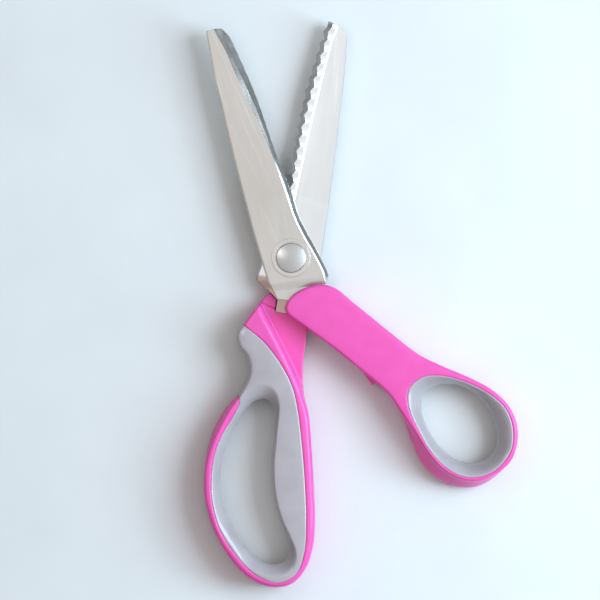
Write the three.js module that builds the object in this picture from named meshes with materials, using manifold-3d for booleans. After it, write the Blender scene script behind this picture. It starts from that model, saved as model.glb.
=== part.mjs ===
// Pinking shears, 235 mm long when closed. Two toothed steel blades turn on one pivot. The back
// blade carries a long finger handle and the front blade a round thumb handle, and each handle is
// a hard core with a soft grip moulded over it.
//
// Frame: millimetres. +Y runs up the closed blades to their tips, +Z is the pivot's axis towards
// its domed head, and the origin is on that axis at the back face of the nut. Heights called h are
// measured from the plane between the two blades.

import * as THREE from "three";
import { mergeVertices } from "three/addons/utils/BufferGeometryUtils.js";
import Module from "manifold-3d";

const wasm = await Module();
wasm.setup();

// ---------------------------------------------------------------- driving dimensions

const OPEN_ANGLE = 26; // degrees between the blades as modelled
const BLADE_THICKNESS = 3.6;
const BLADE_CLEARANCE = 0.3; // between the blades' inner faces
const BLADE_BASE = -9.6; // where the blade starts to step down to its tang
const STEP_LENGTH = 3.2;
const BASE_SLANT = 0.136; // rise of the blade's base towards its spine, for each mm across
const HOLLOW_FALL = 0.3; // the inner face falls this far towards the spine

const TOOTH_COUNT = 14;
const TOOTH_PITCH = 5.06;
const TOOTH_DEPTH = 0.4; // half the height of the corrugation
const FIRST_TOOTH = 95; // distance of the outermost tooth's point from the pivot
const ROOT_LEAD = 2; // from a tooth's point to the root on its tip side
const ROOT_LEAD_GAIN = 0.4; // how much more that is at the last tooth
const BACK_SCALLOP = 0.5; // sideways wave of the blades' outlines, from the teeth
const FRONT_SCALLOP = 0.25;
const RAKE_DROP = 1.3; // from the inner face down to the outline
const BEVEL_DROP = 0.7; // height of the bevel on the outer face
const BEVEL_GAP = 0.3; // least width left between the outline and the bevel
const FLAT_INSET = 0.8; // the flat inner face stops this far inside the outline

const TANG_INNER = 1.15; // tang faces, heights away from the plane between the blades
const TANG_OUTER = 2.95;
const POST_RADIUS = 2.2; // handle posts moulded through the tang
const POST_FIT = 0.3;

const POST_SIDES = 16;

const NUT_HEIGHT = 2.4;
const NUT_ACROSS_CORNERS = 11.5;
const SPRING_WASHER_HEIGHT = 0.7;
const SPRING_WASHER_RADIUS = 6.4;
const FRICTION_WASHER_HEIGHT = 0.5;
const FRICTION_WASHER_RADIUS = 7.8;
const FRONT_WASHER_HEIGHT = 0.6;
const FRONT_WASHER_RADIUS = 8;
const WASHER_GAP = 0.1; // running clearance over the front blade
const DOME_RADIUS = 6.1;
const DOME_RIM = 1.3; // height of the head's rim
const DOME_HEIGHT = 2.1; // and of its crown
const DOME_EDGE = 0.4;
const SHANK_RADIUS = 3;
const BORE_FIT = 0.15;

const HANDLE_HALF = 8.2; // half the handles' thickness
const HANDLE_EDGE = 3.2; // rounding of their outer edges
const HOLE_FLARE = 4.4; // how far the finger and thumb holes open out at the faces
const HOLE_FLARE_HEIGHT = 6;
const GRIP_DEPTH = 2; // thickness of the soft grip over the core
const GRIP_SIDE = 1.2; // its thickness where it wraps the outside of the finger handle
const CORE_EDGE = 0.8; // the same three sizes for the core under the grip
const CORE_FLARE = 1.4;
const CORE_FLARE_HEIGHT = 4;
const FIT = 0.3; // gap between a core and what is moulded to it
const LAP_FIT = 0.5; // side clearance where the closed handles lap
const ROOT_RECESS = 22; // radius cleared about the pivot for the other blade

const BLADE_BACK = NUT_HEIGHT + SPRING_WASHER_HEIGHT;
const MID = BLADE_BACK + BLADE_THICKNESS + BLADE_CLEARANCE / 2;
const INNER = -BLADE_CLEARANCE / 2;
const OUTER = INNER - BLADE_THICKNESS;

const SEGMENTS = 36; // around the pivot parts
const OUTLINE_STEPS = 60; // around a handle
const HOLE_STEPS = 36;
const OVER = 2; // how far a cutter runs past what it cuts

// ---------------------------------------------------------------- plan curves
// Pairs are [distance up the blade, x], for the back blade: its spine is at +x, its edge at -x.

const SPINE = [[-10.2, 11.7], [-8, 12], [10, 12.1], [20, 12], [30, 11.7], [44, 11.2],
  [62, 10.25], [79, 9.35], [88, 8.5], [96.5, 7.6], [101, 7.2]];
const TOOTH_POINTS = [[26, -5.1], [34, -5.2], [45, -5.1], [55, -4.75], [65, -4], [75, -2.95],
  [85, -1.8], [95, -0.35], [99.6, 0.6]];
const TOOTH_ROOTS = [[26, -3.8], [41, -4], [52, -3.65], [62, -3.05], [72, -2.05], [82, -1],
  [92, 0.1], [97, 0.9], [99.6, 1.6]];
const LAND_LINE = [[22, -3.1], [44, -2.05], [53, -1.6], [62, -1], [77, 0.1], [90, 1.2],
  [94, 2.05], [99.6, 3.4]];
const OUTLINE = [[-10.2, -12.6], [-8.9, -13.1], [-4.8, -12.2], [1.7, -10.8], [6, -9.7],
  [10, -8.9], [14, -8.1], [20, -7.65], [25.5, -8], [30, -7.6], [40, -6.6], [50, -5.9],
  [63, -5.5], [70, -5.1], [80, -3.9], [90, -2.5], [97, -1.5], [101, -1.2]];
const BEVEL_OUTER = [[-10.2, -12], [-8.9, -12.5], [-4.8, -11.8], [1.7, -10.3], [6, -9.2],
  [10, -8.4], [14, -7.7], [20, -7.2], [25, -7.5], [30, -7.1], [40, -6], [46.5, -5.4],
  [55, -4.66], [62, -4], [68, -3.15], [75, -2.3], [80, -1.4], [90, -0.1], [99.6, 0.5]];
const BEVEL_INNER = [[-10.2, -11.2], [-5.3, -10.9], [0, -9.5], [5, -8.1], [10, -6.8], [15, -6.2],
  [25, -5.5], [35, -5.2], [44, -4.6], [53, -3.5], [60, -2.4], [66, -1.4], [72.5, -0.5],
  [83, 0.9], [90, 1.6], [94, 2.5], [99.6, 3.9]];

// The blunt tips as [x, distance up the blade], across the blade from its edge to its spine.
const BACK_TIP = [[-1.6, 99.55], [0.3, 99.3], [6.2, 97.05], [7.1, 96.2], [7.6, 95.2]];
const FRONT_TIP = [[-1.3, 95.6], [-1.05, 97.3], [-0.4, 98.7], [0.9, 99.4], [6.2, 100.3],
  [7.4, 99.6]];
const TIP_STATIONS = [101, 99.6, 98.4];
const TIP_STEP = 0.12; // keeps one tip cross-section behind the next
const ROOT_STATION = 24; // just below the last tooth
const BASE_STATIONS = [17, 13, 9, 5, 0, -4.8, -8.9, BLADE_BASE];

// Tangs, each in its own blade's frame. NECK is how wide the blade is where it becomes its tang.
const SPINE_NECK = 10.7;
const BACK_EDGE_NECK = -8;
const FRONT_EDGE_NECK = -10.7;
const FINGER_TANG = [[-10.6, -9], [-10.4, -10.4], [-8.8, -11], [-6.9, -14.7], [-2.8, -18],
  [-2.8, -44], [7.5, -44], [8.5, -18], [10.3, -14.6], [11, -9]];
const THUMB_TANG = [[-10.8, -9], [-10.4, -14.5], [-5.5, -16.6], [1, -27], [13.5, -45.5],
  [20.5, -41.5], [9.5, -23], [10.1, -14.2], [10.4, -9]];
const FINGER_POSTS = [[2.6, -26], [2.4, -38]];
const THUMB_POSTS = [[5.2, -27], [13.2, -38]];

// Handles, each in its own blade's frame with the blades closed.
const FINGER_OUTLINE = [[-5.8, -15.2], [0.2, -13.6], [6.6, -15], [10.8, -20], [11.9, -30],
  [12.5, -44], [14.6, -54.5], [18.2, -63], [21.4, -75.5], [24.8, -90], [27.5, -103],
  [28.7, -115], [27.3, -125.5], [22.6, -132.8], [14.3, -135.6], [5, -133.6], [-4.5, -126.8],
  [-12.9, -117], [-18.5, -105.5], [-20.9, -92.5], [-20.6, -79], [-17, -66.8], [-11.4, -57.8],
  [-9.1, -50], [-10.9, -43.4], [-15.2, -39.1], [-16.8, -35.2], [-14.6, -29.8], [-9.6, -20.4]];
const FINGER_HOLE = [[-0.6, -59.5], [-5.6, -61.5], [-9.4, -67.8], [-12.6, -76.7],
  [-14.2, -87.5], [-12.9, -98.5], [-8.6, -109.6], [-1.6, -118.6], [6.2, -124.7], [12, -126.4],
  [17.2, -124.7], [19.2, -120], [17.6, -115], [12.8, -107], [8.4, -96.5], [6, -85], [5.1, -74],
  [3.4, -62.8]];
const FINGER_GRIP = [[-18.5, -28.6], [-14.9, -30.5], [-5.2, -36.1], [3.9, -44.8], [9.7, -53],
  [13.2, -61.5], [17.2, -75], [21.2, -91], [24.4, -107], [25.6, -119.5], [23.6, -128.8],
  [16.6, -133.5], [7.2, -131.7], [-2.6, -124.6], [-11.2, -114.5], [-16.4, -102],
  [-18, -87.5], [-16.2, -77.2], [-12.7, -68], [-11.3, -61.8], [-14, -57.5], [-16, -50],
  [-21, -42], [-22, -34]];

const THUMB_OUTLINE = [[-8.4, -20.3], [-6.6, -16.9], [-2.9, -14.6], [3.8, -13.4], [9.8, -14.4],
  [14, -17.2], [20.1, -25.9], [30, -40.3], [39.5, -53.4], [48, -61.2], [57.2, -68.8],
  [64.8, -76.6], [69.2, -85], [70, -92.5], [68, -99.8], [63.2, -106.4], [56, -110.8],
  [47, -112.8], [38.4, -110.2], [31.4, -104], [27.6, -96], [26.3, -86], [25.3, -74],
  [22.6, -65.6], [18.6, -58.8], [14.6, -53], [6, -40.4], [-1.4, -30.6]];
// The thumb ring's outer wall leans in towards the front face along its lower left.
const THUMB_LEAN = { 16: [-0.4, 1.1], 17: [0.6, 2.4], 18: [1.8, 3.2], 19: [3.2, 3],
  20: [3.8, 1.8], 21: [2.6, 0.5] };
const THUMB_HOLE = [[42.3, -67.7], [36.9, -69.6], [34.1, -75.2], [34.1, -82.5], [36.4, -91.3],
  [41, -98.6], [47, -102.7], [53.4, -103], [58.9, -99.3], [61.3, -92.3], [60.8, -84.5],
  [57.3, -76.2], [51.4, -70.3], [46.6, -68.4]];
const THUMB_GRIP = [[29, -72.5], [31.2, -65.8], [37.6, -62.6], [45, -63.9], [54.5, -69.4],
  [62.5, -76.8], [67.3, -84.6], [68, -93], [64.6, -102.2], [57, -107.8], [49.5, -109],
  [42.4, -106.9], [36.4, -101], [32.4, -93], [30.2, -84]];
// The tab that meets the finger handle when the blades are closed.
const STOP_TAB = [[16.5, -53], [15.1, -54.2], [17.4, -60.2], [19.2, -59.4], [21, -60]];
const STOP_TAB_HEIGHTS = [-5, 2.5];

// ---------------------------------------------------------------- shape tools

// The value at a place along a list of [place, value] pairs.
function along(pairs, place) {
  const next = pairs.findIndex(([start]) => start >= place);
  if (next === 0) return pairs[0][1];
  if (next < 0) return pairs[pairs.length - 1][1];
  const [a, valueA] = pairs[next - 1];
  const [b, valueB] = pairs[next];
  return THREE.MathUtils.mapLinear(place, a, b, valueA, valueB);
}

// Evenly spaced points, counter-clockwise, round a smooth closed curve through a few points.
function smoothLoop(points, steps) {
  const places = points.map(([x, y]) => new THREE.Vector3(x, y, 0));
  const curve = new THREE.CatmullRomCurve3(places, true, "centripetal");
  const loop = curve.getSpacedPoints(steps).slice(0, steps).map(({ x, y }) => [x, y]);
  const flat = loop.map(([x, y]) => new THREE.Vector2(x, y));
  return THREE.ShapeUtils.isClockWise(flat) ? loop.reverse() : loop;
}

// A counter-clockwise loop moved outwards by a distance, or inwards by a negative one. Where the
// loop turns too tightly for the whole distance, it moves most of the way to its centre of turn.
function offset(loop, distance) {
  const at = (i) => loop[(i + loop.length) % loop.length];
  const turned = loop.map(([x, y], i) => {
    const before = new THREE.Vector2(x - at(i - 1)[0], y - at(i - 1)[1]);
    const after = new THREE.Vector2(at(i + 1)[0] - x, at(i + 1)[1] - y);
    const turn = Math.atan2(before.cross(after), before.dot(after));
    const radius = (before.length() + after.length()) / 2 / Math.max(Math.abs(turn), 0.001);
    const tightens = Math.sign(turn) !== Math.sign(distance);
    const run = before.add(after).normalize();
    return { x, y, run, room: tightens ? 0.85 * radius : Infinity };
  });
  return turned.map(({ x, y, run }, i) => {
    const room = [-1, 0, 1].map((step) => turned[(i + step + loop.length) % loop.length].room);
    const move = Math.sign(distance) * Math.min(Math.abs(distance), ...room);
    return [x + run.y * move, y - run.x * move];
  });
}

// A closed body through rings of points that match one to one, capped at both ends.
function loft(rings, flatten = ([x, y]) => [x, y]) {
  const count = rings[0].length;
  const index = [];
  for (let ring = 0; ring < rings.length - 1; ring++) {
    for (let i = 0; i < count; i++) {
      const a = ring * count + i;
      const b = ring * count + ((i + 1) % count);
      index.push(a, b, b + count, a, b + count, a + count);
    }
  }
  const cap = (ring, up) => {
    const flat = rings[ring].map((point) => new THREE.Vector2(...flatten(point)));
    for (const [a, b, c] of THREE.ShapeUtils.triangulateShape(flat, [])) {
      const turn = (flat[b].x - flat[a].x) * (flat[c].y - flat[a].y)
        - (flat[c].x - flat[a].x) * (flat[b].y - flat[a].y);
      const face = turn > 0 === up ? [a, b, c] : [a, c, b];
      index.push(...face.map((corner) => corner + ring * count));
    }
  };
  cap(0, false);
  cap(rings.length - 1, true);
  const geometry = new THREE.BufferGeometry();
  geometry.setAttribute("position", new THREE.Float32BufferAttribute(rings.flat(2), 3));
  geometry.setIndex(index);
  return geometry;
}

function solid(geometry) {
  geometry.deleteAttribute("normal");
  geometry.deleteAttribute("uv");
  const merged = mergeVertices(geometry);
  return new wasm.Manifold(new wasm.Mesh({
    numProp: 3,
    vertProperties: new Float32Array(merged.attributes.position.array),
    triVerts: new Uint32Array(merged.index.array),
  }));
}

function geometryOf(body) {
  const { vertProperties, triVerts } = body.getMesh();
  const geometry = new THREE.BufferGeometry();
  geometry.setAttribute("position", new THREE.BufferAttribute(vertProperties, 3));
  geometry.setIndex(new THREE.BufferAttribute(triVerts, 1));
  return geometry;
}

// A flat-sided body over a loop of points, between two heights h.
function slab(loop, low, high) {
  const shape = new THREE.Shape(loop.map(([x, y]) => new THREE.Vector2(x, y)));
  const geometry = new THREE.ExtrudeGeometry(shape, { depth: high - low, bevelEnabled: false });
  return solid(geometry.translate(0, 0, MID + low));
}

// A round bar along the pivot's axis, or along a line beside it.
function bar(radius, low, high, x = 0, y = 0, sides = SEGMENTS) {
  const geometry = new THREE.CylinderGeometry(radius, radius, high - low, sides);
  return solid(geometry.rotateX(Math.PI / 2).translate(x, y, MID + (low + high) / 2));
}

function ring(outer, inner, low, high) {
  return bar(outer, low, high).subtract(bar(inner, low - OVER, high + OVER));
}

// ---------------------------------------------------------------- blades

// Distances from the pivot of the tooth points and of the roots between them, tip first. Each
// point is nearer to the root on its tip side.
function toothPlaces() {
  const places = [];
  for (let i = 0; i < TOOTH_COUNT; i++) {
    const point = FIRST_TOOTH - i * TOOTH_PITCH;
    const root = point + ROOT_LEAD + ROOT_LEAD_GAIN * (i / TOOTH_COUNT);
    places.push({ place: root, low: false });
    places.push({ place: point, low: true });
  }
  places.push({ place: places[places.length - 1].place - TOOTH_PITCH / 2, low: false });
  return places;
}

// One cross-section of the back blade, from the spine's inner corner round to its outer corner.
function bladeSection(place, edge, innerFaces, outlineShift) {
  const [spineFace, hollow, land] = innerFaces;
  const outline = along(OUTLINE, place) + outlineShift;
  return [
    [along(SPINE, place), spineFace],
    [along(LAND_LINE, place) + 0.4, hollow],
    [along(LAND_LINE, place), land],
    [edge, land],
    [outline, INNER - RAKE_DROP],
    [Math.max(along(BEVEL_OUTER, place), outline + BEVEL_GAP), OUTER + BEVEL_DROP],
    [along(BEVEL_INNER, place), OUTER],
    [along(SPINE, place), OUTER],
  ];
}

// The blade without its tang. Corrugations follow arcs about the pivot, so that the two blades
// slide past each other at any angle: what is low on one is high on the other.
function bladeBody(isFront) {
  const flat = [INNER, INNER, INNER];
  const hollowed = (land) => [INNER - HOLLOW_FALL, INNER - TOOTH_DEPTH - HOLLOW_FALL, land];
  const onArc = (place, section) => section.map(
    ([x, h]) => [x, Math.sqrt(place * place - x * x), h]);
  const scallop = isFront ? FRONT_SCALLOP : BACK_SCALLOP;
  const stations = [];
  for (const place of TIP_STATIONS) {
    stations.push(onArc(place, bladeSection(place, along(TOOTH_ROOTS, place), hollowed(INNER), 0)));
  }
  for (const { place, low } of toothPlaces()) {
    const isPoint = low !== isFront;
    const edge = along(isPoint ? TOOTH_POINTS : TOOTH_ROOTS, place);
    const land = INNER + (isPoint ? -TOOTH_DEPTH : TOOTH_DEPTH);
    const shift = isPoint ? -scallop : scallop;
    stations.push(onArc(place, bladeSection(place, edge, hollowed(land), shift)));
  }
  const flatSection = (place) => bladeSection(
    place, along(OUTLINE, place) + FLAT_INSET, flat, 0);
  stations.push(onArc(ROOT_STATION, flatSection(ROOT_STATION)));
  stations.forEach((station, i) => {
    const limit = ([x]) => along(isFront ? FRONT_TIP : BACK_TIP, x) - TIP_STEP * i;
    station.forEach((point) => { point[1] = Math.min(point[1], limit(point)); });
  });
  for (const y of BASE_STATIONS) {
    const slant = BASE_SLANT * THREE.MathUtils.smoothstep(-y, -4, -BLADE_BASE);
    stations.push(flatSection(y).map(([x, h]) => [x, y + slant * x, h]));
  }
  const edgeNeck = isFront ? FRONT_EDGE_NECK : BACK_EDGE_NECK;
  const across = [SPINE_NECK, -2, -3, edgeNeck + 0.8, edgeNeck, edgeNeck + 0.3, edgeNeck + 1,
    SPINE_NECK];
  const stepped = across.map((x, i) => {
    const y = BLADE_BASE - STEP_LENGTH + BASE_SLANT * x;
    return [x, y, i < 4 ? -TANG_INNER : -TANG_OUTER];
  });
  stepped[4][2] = -(TANG_INNER + TANG_OUTER) / 2;
  stations.push(stepped);
  return loft(stations, ([x, , h]) => [x, h]);
}

function blade(isFront, tang, posts) {
  const body = bladeBody(isFront);
  if (isFront) body.rotateY(Math.PI);
  body.translate(0, 0, MID);
  const [low, high] = isFront ? [TANG_INNER, TANG_OUTER] : [-TANG_OUTER, -TANG_INNER];
  let result = solid(body).add(slab(tang, low, high));
  result = result.subtract(bar(SHANK_RADIUS + BORE_FIT, OUTER - OVER, -OUTER + OVER));
  for (const [x, y] of posts) {
    result = result.subtract(bar(POST_RADIUS + POST_FIT, OUTER, -OUTER, x, y, POST_SIDES));
  }
  if (isFront) return result;
  const washerSeat = -FRICTION_WASHER_HEIGHT;
  return result.subtract(bar(FRICTION_WASHER_RADIUS + FIT, washerSeat, OVER));
}

// ---------------------------------------------------------------- handles

// A handle's rounded body with its finger or thumb hole. front is the outline at the front face.
// shrink draws the faces and the hole's wall in, and sideShrink the outer wall, which makes the
// hard core that the grip is moulded over.
function handleBody({ outline, front, hole }, shrink, sideShrink, edge, flare, flareHeight) {
  const half = HANDLE_HALF - shrink;
  const arc = [0, 0.5, 1].map((turn) => (turn * Math.PI) / 2);
  const level = (inset, h) => {
    const lean = THREE.MathUtils.smoothstep(h, -0.3 * half, half - edge);
    const loop = outline.map(([x, y], i) => [
      THREE.MathUtils.lerp(x, front[i][0], lean), THREE.MathUtils.lerp(y, front[i][1], lean)]);
    return offset(loop, -inset).map(([x, y]) => [x, y, MID + h]);
  };
  const rounded = arc.map((turn) => [
    sideShrink + edge * (1 - Math.cos(turn)), half - edge + edge * Math.sin(turn)]);
  const outside = [
    ...rounded.toReversed().map(([inset, h]) => level(inset, -h)),
    level(sideShrink, 0),
    ...rounded.map(([inset, h]) => level(inset, h)),
  ];
  const wall = (spread, h) => offset(hole, spread).map(([x, y]) => [x, y, MID + h]);
  const flared = arc.map((turn) => [
    shrink + flare * (1 - Math.cos(turn)), half - flareHeight + flareHeight * Math.sin(turn)]);
  flared.push([shrink + flare, half + OVER]);
  const inside = [
    ...flared.toReversed().map(([spread, h]) => wall(spread, -h)),
    ...flared.map(([spread, h]) => wall(spread, h)),
  ];
  return solid(loft(outside)).subtract(solid(loft(inside)));
}

// The hard core and the soft grip of one handle, before the cuts that let the handles lap.
function handlePair(curves) {
  const high = HANDLE_HALF + OVER;
  const whole = handleBody(curves, 0, 0, HANDLE_EDGE, HOLE_FLARE, HOLE_FLARE_HEIGHT);
  const under = (gap) => handleBody(
    curves, GRIP_DEPTH + gap, GRIP_SIDE + gap, CORE_EDGE, CORE_FLARE, CORE_FLARE_HEIGHT);
  const core = whole.subtract(slab(offset(curves.grip, FIT), -high, high)).add(under(FIT));
  const grip = whole.intersect(slab(curves.grip, -high, high)).subtract(under(0));
  return { core, grip };
}

// What a handle leaves free for the other blade and handle, on the other blade's side.
function lapCut(otherOutline, side) {
  const reach = HANDLE_HALF + OVER;
  const [low, high] = side > 0 ? [INNER, reach] : [-reach, -INNER];
  return slab(offset(otherOutline, LAP_FIT), low, high).add(bar(ROOT_RECESS, low, high));
}

// The pocket that a core is moulded round its tang in, open to the other blade near the pivot.
function tangPocket(tang, posts, side) {
  const heights = (a, b) => (side > 0 ? [a, b] : [-b, -a]);
  const flat = tang.map(([x, y]) => new THREE.Vector2(x, y));
  const loop = THREE.ShapeUtils.isClockWise(flat) ? tang.toReversed() : tang;
  const grown = offset(loop, FIT);
  let pocket = slab(grown, ...heights(TANG_INNER - FIT, TANG_OUTER + FIT));
  for (const [x, y] of posts) {
    pocket = pocket.subtract(
      bar(POST_RADIUS, -HANDLE_HALF, HANDLE_HALF, x, y, POST_SIDES));
  }
  const open = slab(grown, ...heights(-OVER, TANG_OUTER + FIT));
  return pocket.add(open.intersect(bar(ROOT_RECESS, -HANDLE_HALF, HANDLE_HALF)));
}

const finger = {
  outline: smoothLoop(FINGER_OUTLINE, OUTLINE_STEPS),
  hole: smoothLoop(FINGER_HOLE, HOLE_STEPS),
  grip: smoothLoop(FINGER_GRIP, OUTLINE_STEPS),
};
finger.front = finger.outline;

// The front outline is spaced like the back one, so that the two match point for point.
function leaning(points, lean) {
  const curve = (list) => new THREE.CatmullRomCurve3(
    list.map(([x, y]) => new THREE.Vector3(x, y, 0)), true, "centripetal");
  const back = curve(points);
  const front = curve(points.map(([x, y], i) => {
    const [dx, dy] = lean[i] ?? [0, 0];
    return [x + dx, y + dy];
  }));
  const places = Array.from(
    { length: OUTLINE_STEPS }, (_, i) => back.getUtoTmapping(i / OUTLINE_STEPS));
  const sample = (source) => places.map((t) => source.getPoint(t)).map(({ x, y }) => [x, y]);
  return { outline: sample(back).reverse(), front: sample(front).reverse() };
}

const thumb = {
  ...leaning(THUMB_OUTLINE, THUMB_LEAN),
  hole: smoothLoop(THUMB_HOLE, HOLE_STEPS),
  grip: smoothLoop(THUMB_GRIP, HOLE_STEPS),
};

function fingerHandle() {
  const { core, grip } = handlePair(finger);
  const lap = lapCut(thumb.outline, 1);
  const pocket = tangPocket(FINGER_TANG, FINGER_POSTS, -1);
  return { core: core.subtract(lap).subtract(pocket), grip: grip.subtract(lap) };
}

function thumbHandle() {
  const { core, grip } = handlePair(thumb);
  const lap = lapCut(finger.outline, -1);
  const pocket = tangPocket(THUMB_TANG, THUMB_POSTS, 1);
  const tab = slab(STOP_TAB, ...STOP_TAB_HEIGHTS);
  return { core: core.subtract(lap).subtract(pocket).add(tab), grip };
}

// ---------------------------------------------------------------- pivot

const HEAD_SEAT = -OUTER + WASHER_GAP + FRONT_WASHER_HEIGHT;

// Plain shank with a low crowned head, flush with the nut at its back end.
function pivotBolt() {
  const seat = MID + HEAD_SEAT;
  const profile = [new THREE.Vector2(0, 0), new THREE.Vector2(SHANK_RADIUS, 0),
    new THREE.Vector2(SHANK_RADIUS, seat), new THREE.Vector2(DOME_RADIUS, seat),
    new THREE.Vector2(DOME_RADIUS, seat + DOME_RIM - DOME_EDGE)];
  for (const part of [1, 0.8, 0.6, 0.4, 0.2, 0]) {
    const height = DOME_HEIGHT - (DOME_HEIGHT - DOME_RIM) * part * part;
    profile.push(new THREE.Vector2((DOME_RADIUS - DOME_EDGE) * part, seat + height));
  }
  return solid(new THREE.LatheGeometry(profile, SEGMENTS).rotateX(Math.PI / 2));
}

function pivotNut() {
  const hex = bar(NUT_ACROSS_CORNERS / 2, -MID, NUT_HEIGHT - MID, 0, 0, 6);
  return hex.subtract(bar(SHANK_RADIUS + BORE_FIT, -MID - OVER, NUT_HEIGHT - MID + OVER));
}

function washers() {
  const bore = SHANK_RADIUS + BORE_FIT;
  const springLow = NUT_HEIGHT - MID;
  const frontLow = -OUTER + WASHER_GAP;
  return {
    spring: ring(SPRING_WASHER_RADIUS, bore, springLow, springLow + SPRING_WASHER_HEIGHT),
    friction: ring(FRICTION_WASHER_RADIUS, bore, -FRICTION_WASHER_HEIGHT, 0),
    front: ring(FRONT_WASHER_RADIUS, bore, frontLow, frontLow + FRONT_WASHER_HEIGHT),
  };
}

// ---------------------------------------------------------------- materials and assembly

const finish = (color, roughness, metalness) => new THREE.MeshStandardMaterial(
  { color, roughness, metalness, flatShading: true });

function part(name, body, material) {
  const mesh = new THREE.Mesh(geometryOf(body), material);
  mesh.name = name;
  return mesh;
}

const pinkPlastic = () => finish(0xec64b9, 0.35, 0);
const greySoft = () => finish(0xb2b0ba, 0.55, 0);

const shears = new THREE.Group();

const fingerParts = fingerHandle();
shears.add(part("back_blade", blade(false, FINGER_TANG, FINGER_POSTS), finish(0xe2e6ea, 0.3, 1)));
shears.add(part("finger_handle_core", fingerParts.core, pinkPlastic()));
shears.add(part("finger_grip", fingerParts.grip, greySoft()));

const washerParts = washers();
shears.add(part("pivot_bolt", pivotBolt(), finish(0xb4b4b2, 0.3, 1)));
shears.add(part("pivot_nut", pivotNut(), finish(0x9c9c9c, 0.4, 1)));
shears.add(part("spring_washer", washerParts.spring, finish(0x8c8c8e, 0.4, 1)));
shears.add(part("friction_washer", washerParts.friction, finish(0xe2dcc8, 0.6, 0)));
shears.add(part("front_washer", washerParts.front, finish(0xc8c8c6, 0.3, 1)));

const frontHalf = new THREE.Group();
const thumbParts = thumbHandle();
frontHalf.add(part("front_blade", blade(true, THUMB_TANG, THUMB_POSTS), finish(0xc8c6c2, 0.35, 1)));
frontHalf.add(part("thumb_handle_core", thumbParts.core, pinkPlastic()));
frontHalf.add(part("thumb_ring_liner", thumbParts.grip, greySoft()));
frontHalf.rotation.z = THREE.MathUtils.degToRad(OPEN_ANGLE);
shears.add(frontHalf);

export default shears;
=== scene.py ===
"""Pinking shears, lying on a pale floor and seen from straight above.

The CAD model is loaded as the frame. Every node is replaced by a finer piece: the handles are
smooth moulded shapes meshed from distance fields, the blades are ground lofts and the pivot
parts are turned profiles. Shapes are worked out in millimetres, in each half's own frame with
the blades closed, and heights called h are measured from the plane between the blades.
"""

import math

import bmesh
import bpy
import numpy as np
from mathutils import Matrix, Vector


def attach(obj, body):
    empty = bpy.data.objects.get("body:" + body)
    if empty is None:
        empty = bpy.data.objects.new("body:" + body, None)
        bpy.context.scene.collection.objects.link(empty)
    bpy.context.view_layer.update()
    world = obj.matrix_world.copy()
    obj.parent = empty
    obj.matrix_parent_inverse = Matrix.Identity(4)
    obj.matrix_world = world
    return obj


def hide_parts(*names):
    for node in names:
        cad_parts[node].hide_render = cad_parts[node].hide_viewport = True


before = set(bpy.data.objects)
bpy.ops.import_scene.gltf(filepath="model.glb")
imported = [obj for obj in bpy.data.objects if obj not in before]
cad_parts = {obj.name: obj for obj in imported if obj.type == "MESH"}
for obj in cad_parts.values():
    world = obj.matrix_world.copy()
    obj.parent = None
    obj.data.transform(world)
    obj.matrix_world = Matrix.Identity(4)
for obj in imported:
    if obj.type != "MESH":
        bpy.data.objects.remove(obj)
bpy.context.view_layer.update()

# ---------------------------------------------------------------- dimensions, in millimetres

MM = 0.001
MID = 6.85  # height of the plane between the blades above the frame's origin
OPEN_ANGLE = 26  # degrees between the two halves at rest

BLADE_THICKNESS = 3.6
INNER = -0.15
OUTER = INNER - BLADE_THICKNESS
TOOTH_COUNT = 14
TOOTH_PITCH = 5.06
TOOTH_DEPTH = 0.25
FIRST_TOOTH = 95
ROOT_LEAD = 2  # from each tooth's point up to the root before it, at the tip
ROOT_LEAD_GAIN = 0.4  # how much longer that is at the last tooth
BACK_SCALLOP = 0.5  # how far the outline behind the teeth swings with them
FRONT_SCALLOP = 0.08
RAKE_SLOPE = 0.58  # fall from the teeth to the outline, for each mm across
WALL_SLOPE = 0.9  # the same for the wall outside the bevel
HOLLOW = 0.3  # depth of the hollow inside the toothed land
TIP_STATIONS = (101, 99.6, 98.4)  # sections above the teeth, as distances from the pivot
TIP_STEP = 0.12  # how far the blunt end steps down from one section to the next
ROOT_STATION = 24  # the section just below the teeth
BASE_TOP = 18  # from here down to the base the sections are straight
BLADE_BASE = -9.6
BASE_STATIONS = 16
BASE_SLANT = 0.136
JOGGLE_LENGTH = 3.2  # from the base down to the thinner tang
JOGGLE_STEPS = (0.03, 0.2, 0.4, 0.6, 0.8, 0.95, 1)
SPINE_NECK = 10.7  # half widths of the tang's neck
BACK_EDGE_NECK = 8
FRONT_EDGE_NECK = 10.7
TANG_INNER = -1.15
TANG_OUTER = -3.2
SHANK_RADIUS = 3
SHANK_END = 2.5  # radius of the shank's chamfered end
BORE = 3.15
HEAD_SEAT = 0.7 - OUTER  # the underside of the bolt's head, on the front washer
HEAD_RADIUS = 6.1
DOME_RADIUS = 5.7
RIM_HEIGHT = 0.9
RIM_ROUND = 0.4
DOME_TOP = 1.85
DOME_RISE = 0.55
NUT_CORNER = 5.75
NUT_HEIGHT = 2.4

HALF = 8.2  # half the handles' thickness
OPENING_POWER = 1.45  # shape of the walls of the holes: 1 is a cone, 2 a quarter round
PITCH = 0.42  # grid the handles are meshed on
GRID_REACH = HALF + 1.2
RECESS_RADIUS = 22  # cleared about the pivot for the other blade
LAP_FIT = 0.5
SKIN = 0.03  # keeps the smooth outlines inside the frame's faceted ones
SEAM_OVERLAP = 0.15  # the shell runs this far under the soft grip's edge
SEAM_ROUND = 0.45

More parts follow.
